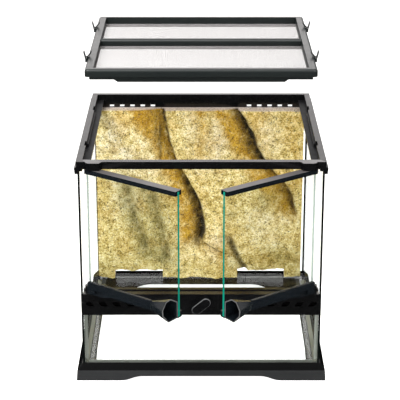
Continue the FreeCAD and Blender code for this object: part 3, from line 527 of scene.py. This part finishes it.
def rock_tints(rng, x, z, swayed, folds):
    """How gold, dark, olive and pale the paint is at each point, from 0 to 1; the dark, the olive and the
    gold on the folds' flanks are painted shade.
    """
    _, left_a, on_a = folds["great_left"]
    _, left_b, on_b = folds["great_right"]
    _, left_foot, on_foot = folds["foot"]
    _, left_outer, on_outer = folds["outer_groove"]
    _, left_inner, on_inner = folds["inner_groove"]
    _, left_seam, on_seam = folds["seam"]
    on_crease = folds["crease"][2]

    # painted half-shade: gold down the flanks that slope into the two great folds
    gold = 0.95 * blend(left_a, 1.5, 0.8) * (left_a > -0.08) * on_a
    gold += 0.95 * blend(left_b, 1.35, 0.8) * (left_b > -0.1) * on_b
    gold += mounds(swayed, z, (
        (0.6, 0.190, 0.37, 0.025, 0.05), (0.6, 0.16, 0.262, 0.035, 0.022),
        (0.55, 0.0, 0.39, 0.012, 0.03), (0.5, 0.0, 0.33, 0.014, 0.04),
        (0.8, -0.125, 0.395, 0.05, 0.022), (0.8, 0.046, 0.075, 0.012, 0.03),
        (0.6, 0.155, 0.075, 0.05, 0.022), (0.5, -0.13, 0.215, 0.008, 0.03)))
    gold += 0.25 * blend(lumps(rng, x, z, 60 * MM, 3), 0.0, 0.5)

    # painted shade: dark in the folds, along the crease and in the pits of the relief
    dark = on_a * (bell(left_a, -0.02, 0.09)
                   + 0.9 * blend(z, 0.29, 0.24) * bell(left_a, 0.18, 0.24)
                   + 0.35 * blend(z, 0.36, 0.41) * bell(left_a, 0.35, 0.35))
    dark += on_b * (bell(left_b, -0.02, 0.12)
                    + 0.75 * blend(z, 0.25, 0.31) * bell(left_b, 0.2, 0.22))
    dark += 0.85 * bell(left_foot, 0.1, 0.35) * on_foot + 0.5 * bell(left_seam, 0, 0.15) * on_seam
    dark += 0.7 * bell(swayed, -0.084, 4 * MM) * on_crease
    dark += 0.26 * bell(left_outer, 0.2, 0.7) * on_outer + 0.22 * bell(left_inner, 0.2, 0.8) * on_inner
    dark += mounds(swayed, z, ((0.4, 0.064, 0.176, 0.010, 0.010), (0.3, 0.10, 0.150, 0.016, 0.007)))

    # painted shade: olive along the soft grooves, and more towards the foot
    olive = 0.75 * bell(left_outer, 0.3, 1.1) * on_outer + 0.75 * bell(left_inner, 0.4, 1.2) * on_inner
    olive += mounds(swayed, z, ((0.5, 0.145, 0.21, 0.03, 0.03), (0.5, 0.17, 0.08, 0.05, 0.03)))
    olive += 0.3 * blend(z, 0.12, 0.04)

    pale = mounds(swayed, z, (
        (0.9, -0.185, 0.35, 0.05, 0.05), (0.9, -0.12, 0.29, 0.045, 0.05),
        (0.7, -0.165, 0.22, 0.04, 0.05), (0.7, -0.02, 0.39, 0.02, 0.05),
        (0.8, 0.035, 0.35, 0.03, 0.05), (0.8, 0.01, 0.30, 0.04, 0.03),
        (0.9, 0.045, 0.11, 0.035, 0.04), (0.6, 0.14, 0.35, 0.03, 0.05),
        (0.7, 0.14, 0.15, 0.05, 0.05), (0.4, -0.05, 0.10, 0.03, 0.06)))
    pale *= 0.6 + 0.8 * lumps(rng, x, z, 30 * MM, 3, 0.6)

    breakup = 0.82 + 0.7 * lumps(rng, x, z, 9 * MM, 3, 0.8)
    tints = {"gold": gold, "dark": dark, "olive": olive, "pale": pale}
    return {label: np.clip(values * breakup, 0, 1) for label, values in tints.items()}


def notched_sheet(xs, rows):
    """A grid of cells over xs, with the notches cut out of its foot.

    Returns the grid points that are in use, the cells and the points round the edge, in order, both
    as places in that list.
    """
    columns = len(xs) - 1
    index = np.arange((columns + 1) * (rows + 1)).reshape(columns + 1, rows + 1)
    keep = np.ones((columns, rows), bool)
    up = int(round(NOTCH_HIGH / CELL))
    edge = []
    start = 0
    for x0, x1 in NOTCHES:
        i0, i1 = int(np.searchsorted(xs, x0)), int(np.searchsorted(xs, x1))
        keep[i0:i1, :up] = False
        edge += [index[start:i0 + 1, 0], index[i0, 1:up + 1], index[i0 + 1:i1, up], index[i1, up:0:-1]]
        start = i1
    edge += [index[start:, 0], index[-1, 1:], index[-2::-1, -1], index[0, -2:0:-1]]
    cells = np.stack([index[:-1, :-1], index[1:, :-1], index[1:, 1:], index[:-1, 1:]], -1)[keep]
    used, places = np.unique(cells, return_inverse=True)
    return used, places.reshape(cells.shape), np.searchsorted(used, np.concatenate(edge))


def build_rock():
    """The moulded wall: a relief in front, a torn foot with two notches, and a flat back."""
    low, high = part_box("rock_background")
    columns, rows = int((high.x - low.x) / CELL), int((high.z - low.z) / CELL)
    xs, zs = np.linspace(low.x, high.x, columns + 1), np.linspace(low.z, high.z, rows + 1)
    x, z = np.meshgrid(xs, zs, indexing="ij")
    rng = np.random.default_rng(7)
    swayed = x + 4 * MM * lumps(rng, x, z, 40 * MM, 3)
    folds = rock_folds(swayed, z)
    depth = rock_relief(rng, x, z, swayed, folds, high.z)
    tints = rock_tints(rng, x, z, swayed, folds)
    # the foot and the notches' edges are torn, not cut straight
    ragged = 3.5 * MM * (1 + lumps(rng, x, np.zeros_like(x), 22 * MM, 3, 0.7))
    z = z + ragged * blend(z, low.z + 60 * MM, low.z + 18 * MM)

    # the front sheet, then its border again in the plane of the back
    used, cells, border = notched_sheet(xs, rows)
    front = np.stack([x, high.y - depth, z], axis=-1).reshape(-1, 3)[used]
    rim = front[border].copy()
    rim[:, 1] = high.y
    first, count = len(front), len(border)
    faces = [tuple(cell) for cell in cells.tolist()]
    for k in range(count):
        after = (k + 1) % count
        faces.append((int(border[after]), int(border[k]), first + k, first + after))
    faces.append(tuple(range(first + count - 1, first - 1, -1)))
    mesh = bpy.data.meshes.new("rock_wall")
    mesh.from_pydata(np.concatenate([front, rim]).tolist(), [], faces)

    # bare foam shows on the back and the rim, and thinly along the top edge
    spreads = {label: np.append(values.reshape(-1)[used], np.zeros(count))
               for label, values in tints.items()}
    spreads["raw"] = np.append(np.where(front[:, 2] > high.z - CELL / 2, 0.6, 0.0), np.ones(count))
    for label, values in spreads.items():
        mesh.attributes.new(label, "FLOAT", "POINT").data.foreach_set("value", values.astype(np.float32))
    mesh.update()
    for face in mesh.polygons[:len(cells)]:
        face.use_smooth = True
    mesh.materials.append(rock_paint())
    rock = new_object("rock_wall", mesh)
    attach(rock, "tank")
    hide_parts("rock_background")


build_rock()


# ---------------------------------------------------------------- woven screens

WIRE_PITCH, WIRE_RADIUS = 2.3 * MM, 0.26 * MM
# how far a wire swings at a crossing, and how tall its section is, as shares of its radius
WEAVE, FLATNESS = 0.9, 0.7


def woven_screen(name, node, material):
    """Wires over and under each other at every crossing; each wire has three sides."""
    low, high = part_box(node)
    middle = (low.z + high.z) / 2
    nx, ny = int((high.x - low.x) / WIRE_PITCH), int((high.y - low.y) / WIRE_PITCH)
    xs = np.linspace(low.x + WIRE_RADIUS, high.x - WIRE_RADIUS, nx)
    ys = np.linspace(low.y + WIRE_RADIUS, high.y - WIRE_RADIUS, ny)
    corners = [(math.cos(a), math.sin(a)) for a in (math.pi / 2, math.pi * 7 / 6, math.pi * 11 / 6)]
    verts, faces = [], []

    def wire(fixed, run, along, phase):
        """One wire at the place fixed, with a bend at each place of run."""
        start = len(verts)
        for k, place in enumerate(run):
            lift = WIRE_RADIUS * (1 if (k + phase) % 2 else -1) * WEAVE
            for c, s in corners:
                across = fixed + WIRE_RADIUS * c
                up = middle + lift + WIRE_RADIUS * s * FLATNESS
                verts.append((place, across, up) if along == "x" else (across, place, up))
        for k in range(len(run) - 1):
            for side in range(3):
                a, b = start + 3 * k + side, start + 3 * k + (side + 1) % 3
                quad = (a, b, b + 3, a + 3)
                faces.append(quad if along == "y" else quad[::-1])
        last = start + 3 * (len(run) - 1)
        ends = ((start + 2, start + 1, start), (last, last + 1, last + 2))
        faces.extend(ends if along == "y" else tuple(end[::-1] for end in ends))

    for j, y in enumerate(ys):
        wire(y, xs, "x", j)
    for i, x in enumerate(xs):
        wire(x, ys, "y", i + 1)
    mesh = bpy.data.meshes.new(name)
    mesh.from_pydata(verts, [], faces)
    mesh.update()
    mesh.materials.append(material)
    item = new_object(name, mesh)
    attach(item, "lid")
    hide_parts(node)


screen_wire = wire_steel()
woven_screen("woven_screen_front", "lid_screen_front", screen_wire)
woven_screen("woven_screen_rear", "lid_screen_rear", screen_wire)


# ---------------------------------------------------------------- softened edges

for name in ("base_frame", "top_frame", "vent_strip"):
    soften(name, 0.7 * MM)
for side in ("left", "right"):
    soften(f"{side}_top_rail", 0.5 * MM)
    soften(f"{side}_bottom_rail", 0.7 * MM)
    soften(f"{side}_handle", 0.8 * MM)
for name in ("screen_retainer", "lid_crossbar"):
    soften(name, 0.8 * MM)


# ---------------------------------------------------------------- floor, light and camera

FLOOR_REACH = 70.0
# the floor glows most within GLOW_NEAR of the origin, and evenly past GLOW_FAR
GLOW_NEAR, GLOW_FAR = 0.35, 1.1
NEAR_GLOW, FAR_GLOW = 1.15, 0.5
# the background turns from dark to pale over this share of the way from the horizon to overhead
HORIZON_BAND = 0.06
SKY_STRENGTH = 0.62
WHITE, WARM_WHITE = (1, 1, 1), (1, 0.95, 0.94)
# name, place, point it aims at, width, height, watts and colour
LAMPS = (("key", (-1.4, -1.4, 2.6), (0, 0, 0.25), 1.2, 1.2, 84, WHITE),
         ("overhead", (0, -0.5, 3.1), (0, -0.1, 0.4), 2.4, 0.8, 26, WHITE),
         ("fill", (1.6, -1.8, 1.9), (0, 0, 0.25), 1.4, 1.4, 16, WHITE),
         ("rear_panel", (-0.5, 3.2, 1.55), (0, 0, 0.35), 2.6, 1.3, 18, WARM_WHITE))
LENS, SENSOR = 133.0, 36.0
CAMERA_PLACE, CAMERA_TILT = (-0.0021, -2.7639, 1.2858), 0.349


def build_stage():
    """A wide pale floor."""
    reach = FLOOR_REACH
    mesh = bpy.data.meshes.new("floor")
    corners = [(-reach, -reach, 0), (reach, -reach, 0), (reach, reach, 0), (-reach, reach, 0)]
    mesh.from_pydata(corners, [], [(0, 1, 2, 3)])
    shader = Shader("pale_floor")
    # a little brighter around the model, where the model itself keeps light away
    distance = shader.add("ShaderNodeVectorMath", {0: shader.place}, operation="LENGTH").outputs["Value"]
    glow = shader.add("ShaderNodeMapRange", {"Value": distance, "From Min": GLOW_NEAR, "From Max": GLOW_FAR,
                                             "To Min": NEAR_GLOW, "To Max": FAR_GLOW})
    shader.set(Base_Color=(0.90, 0.895, 0.885, 1), Roughness=0.7, Emission_Color=(1, 0.995, 0.99, 1),
               Emission_Strength=glow.outputs[0])
    mesh.materials.append(shader.material)
    floor = new_object("floor", mesh)
    floor.visible_glossy = False


def area_light(name, place, aim, width, height, watts, colour):
    """A rectangular lamp that the camera doesn't see."""
    data = bpy.data.lights.new(name, "AREA")
    data.shape = "RECTANGLE"
    data.size, data.size_y = width, height
    data.energy = watts
    data.color = colour
    lamp = new_object(name, data)
    lamp.location = place
    lamp.rotation_euler = (Vector(aim) - Vector(place)).to_track_quat("-Z", "Y").to_euler()
    lamp.visible_camera = False


def build_light():
    """A studio background and four soft lamps."""
    world = bpy.data.worlds.new("studio")
    world.use_nodes = True
    nodes, links = world.node_tree.nodes, world.node_tree.links
    # pale above the horizon and dark below it, so that upright faces mirror nothing bright
    split = nodes.new("ShaderNodeSeparateXYZ")
    ramp = nodes.new("ShaderNodeValToRGB")
    links.new(nodes.new("ShaderNodeTexCoord").outputs["Generated"], split.inputs[0])
    links.new(split.outputs["Z"], ramp.inputs["Fac"])
    dark_end, pale_end = ramp.color_ramp.elements
    dark_end.color = (0.01, 0.01, 0.01, 1)
    pale_end.color = (1, 0.995, 0.985, 1)
    pale_end.position = HORIZON_BAND
    background = nodes["Background"]
    links.new(ramp.outputs["Color"], background.inputs["Color"])
    background.inputs["Strength"].default_value = SKY_STRENGTH
    bpy.context.scene.world = world
    for lamp in LAMPS:
        area_light(*lamp)


def build_camera():
    """A long lens in front of the doors, a little above the lid, tilted down."""
    data = bpy.data.cameras.new("camera")
    data.lens = LENS
    data.sensor_width = SENSOR
    camera = new_object("camera", data)
    camera.location = CAMERA_PLACE
    camera.rotation_euler = (math.pi / 2 - CAMERA_TILT, 0, 0)
    bpy.context.scene.camera = camera


build_stage()
build_light()
build_camera()
bpy.context.scene.view_settings.view_transform = "Standard"
